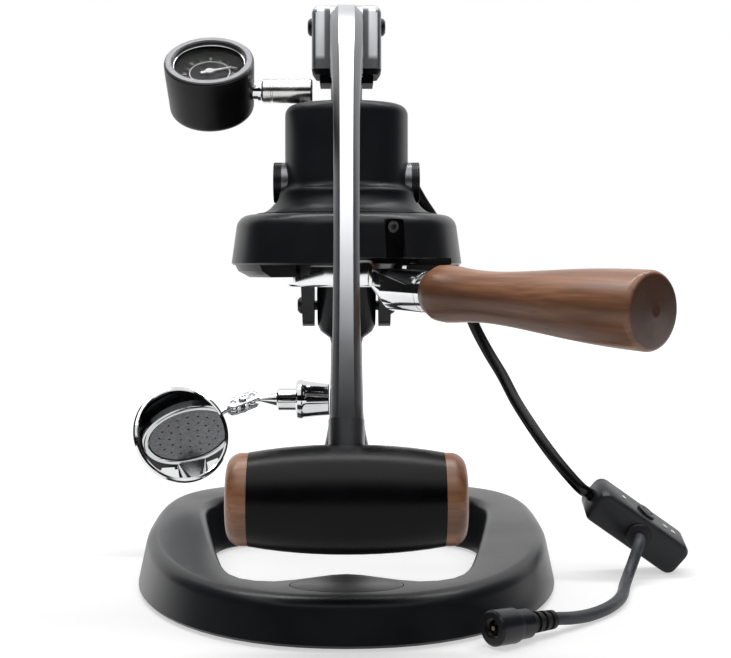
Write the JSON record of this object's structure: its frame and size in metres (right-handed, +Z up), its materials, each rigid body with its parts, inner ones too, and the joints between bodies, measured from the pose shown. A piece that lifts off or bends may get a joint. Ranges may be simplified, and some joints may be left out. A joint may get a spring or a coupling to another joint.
{
  "type": "manual lever espresso maker",
  "caption": "Free-standing manual lever espresso press with a ring base, curved post, T-handled lever, heated brew head, pressure gauge, shot mirror and wooden-handled bottomless portafilter.",
  "frame": {"origin": "On the table under the brew axis, at the middle of the place for the cup", "axes": "+Z up, +X to the right seen from the lever side, +Y to the rear toward the post; rest pose is lever down with the portafilter locked"},
  "size_m": [0.3238, 0.3286, 0.3213],
  "materials": {
    "satin_black": "satin black powder coat",
    "satin_grey": "satin dark grey coat",
    "black_screw": "black oxide",
    "steel": "brushed stainless steel",
    "chrome": "polished chrome plate",
    "rubber_black": "matte black silicone",
    "grip": "fine textured black grip",
    "heater": "film heater",
    "lead_skin": "glossy black cable jacket",
    "pigtail_skin": "dull black cable jacket",
    "black_plastic": "fine textured black plastic",
    "board": "circuit board",
    "lens": "clear lens",
    "contact": "plated contact",
    "dial": "printed dial",
    "clear": "clear window",
    "white_paint": "white paint",
    "walnut": "oiled walnut",
    "mirror": "silvered mirror"
  },
  "bodies": {
    "stand": {"base_ring": "satin_black", "base_feet": "rubber_black", "base_badge": "satin_black", "post": "satin_black", "post_bolts": "black_screw", "fork_shim": "satin_black", "lever_fork": "satin_grey", "fork_bolt": "black_screw", "collar": "satin_black", "collar_screw": "black_screw", "lug_bolts": "black_screw", "cradle": "satin_black", "cradle_bolts": "black_screw", "trunnion_screws": "black_screw", "brew_cylinder": "steel", "cylinder_sleeve": "rubber_black", "heater_band": "heater", "group_gasket": "rubber_black", "spray_screen": "steel", "lead_gland": "rubber_black", "lead_cord": "lead_skin", "controller_bottom": "black_plastic", "controller_top": "black_plastic", "controller_board": "board", "controller_lights": "lens", "pigtail_grommet": "rubber_black", "pigtail_cord": "pigtail_skin", "jack_shell": "black_plastic", "jack_contacts": "contact", "jack_relief": "rubber_black", "mirror_magnet": "chrome"},
    "lever": {"lever_arm": "satin_grey", "fulcrum_pin": "steel", "fulcrum_caps": "black_screw", "drive_pin": "steel", "handle_core": "steel", "handle_bolt": "black_screw", "handle_grip": "grip", "handle_caps": "walnut"},
    "piston": {"piston_head": "steel", "piston_seals": "rubber_black", "piston_rod": "steel", "gauge_riser": "chrome", "gauge_barrel": "chrome"},
    "gauge": {"gauge_case": "black_plastic", "gauge_stem": "chrome", "gauge_bezel": "black_plastic", "gauge_dial": "dial", "gauge_glass": "clear"},
    "needle": {"gauge_needle": "white_paint"},
    "portafilter": {"portafilter_body": "chrome", "filter_basket": "steel", "basket_spring": "steel", "portafilter_handle": "walnut", "handle_stud": "steel"},
    "mirror_link": {"knuckle_plates": "steel", "knuckle_screw": "steel"},
    "mirror_head": {"mirror_frame": "chrome", "mirror_glass": "mirror"},
    "button": {"controller_button": "black_plastic"}
  },
  "joints": [
    {"name": "lever_swing", "type": "hinge", "parent": "stand", "child": "lever", "pos_m": [0, 0.02413, 0.309], "axis": [-1, 0, 0], "range_deg": [0, 100]},
    {"name": "piston_slide", "type": "slide", "parent": "stand", "child": "piston", "axis": [0, 0, 1], "range_m": [0, 0.0451]},
    {"name": "gauge_swivel", "type": "hinge", "parent": "piston", "child": "gauge", "pos_m": [-0.05, 0, 0.27], "axis": [1, 0, 0], "range_deg": [-40, 40]},
    {"name": "needle_turn", "type": "hinge", "parent": "gauge", "child": "needle", "pos_m": [-0.074, 0, 0.27], "axis": [0, 0.6428, -0.766], "range_deg": [0, 240], "stiffness_Nm_per_rad": 0.0005},
    {"name": "portafilter_turn", "type": "hinge", "parent": "stand", "child": "portafilter", "pos_m": [0, 0, 0.17], "axis": [0, 0, 1], "range_deg": [0, 45]},
    {"name": "mirror_swing", "type": "hinge", "parent": "stand", "child": "mirror_link", "pos_m": [-0.05998, 0.12213, 0.0895], "axis": [0.0068, -0.5595, 0.8288], "range_deg": [-30, 20]},
    {"name": "mirror_roll", "type": "hinge", "parent": "mirror_link", "child": "mirror_head", "pos_m": [-0.07145, 0.11619, 0.08558], "axis": [0.7703, 0.5114, 0.381], "range_deg": [-45, 45]},
    {"name": "button_press", "type": "slide", "parent": "stand", "child": "button", "axis": [-0.5902, 0.2432, -0.7698], "range_m": [0, 0.0008], "stiffness_N_per_m": 300}
  ],
  "couplings": [
    {"joint": "piston_slide", "follows": "lever_swing", "m_per_rad": 0.025783}
  ]
}
